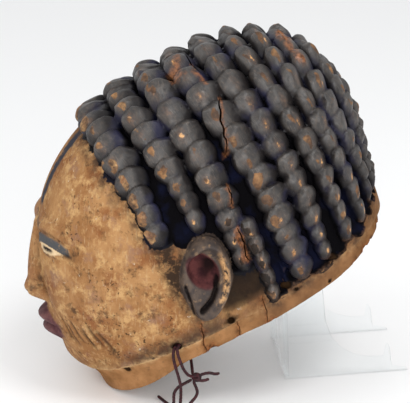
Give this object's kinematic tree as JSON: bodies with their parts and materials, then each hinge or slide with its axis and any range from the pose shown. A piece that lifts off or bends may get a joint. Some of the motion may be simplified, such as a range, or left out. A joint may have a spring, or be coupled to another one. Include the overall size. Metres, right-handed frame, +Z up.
{
  "type": "gelede mask",
  "caption": "Carved and painted hollow wooden head-crest mask with rows of lobed hair, resting on its chin and a clear acrylic easel, with a tie cord through the rim.",
  "frame": {"origin": "on the table under the middle of the mask and its stand", "axes": "+Z up, the face looks along -Y, the mask's own left side is +X; +Y runs back along the head to the nape and the stand"},
  "size_m": [0.2281, 0.3674, 0.3363],
  "materials": {
    "painted_wood": "hand-carved wood with worn matt and semi-gloss paint: tan face, charcoal hair, bare worn wood on the high spots",
    "clear_acrylic": "clear polished acrylic sheet",
    "tie_cord": "dark red-brown twisted string, slightly waxy"
  },
  "bodies": {
    "root": {"mask": "painted_wood", "stand_left_arm": "clear_acrylic", "stand_right_arm": "clear_acrylic", "stand_cross_plate": "clear_acrylic", "tie_cord_front": "tie_cord", "tie_cord_back": "tie_cord", "tie_cord_inside": "tie_cord", "tie_cord_back_tail": "tie_cord", "tie_cord_inside_tail": "tie_cord", "tie_cord_upper_end": "tie_cord", "tie_cord_lower_end": "tie_cord", "tie_cord_knot": "tie_cord"}
  },
  "joints": []
}
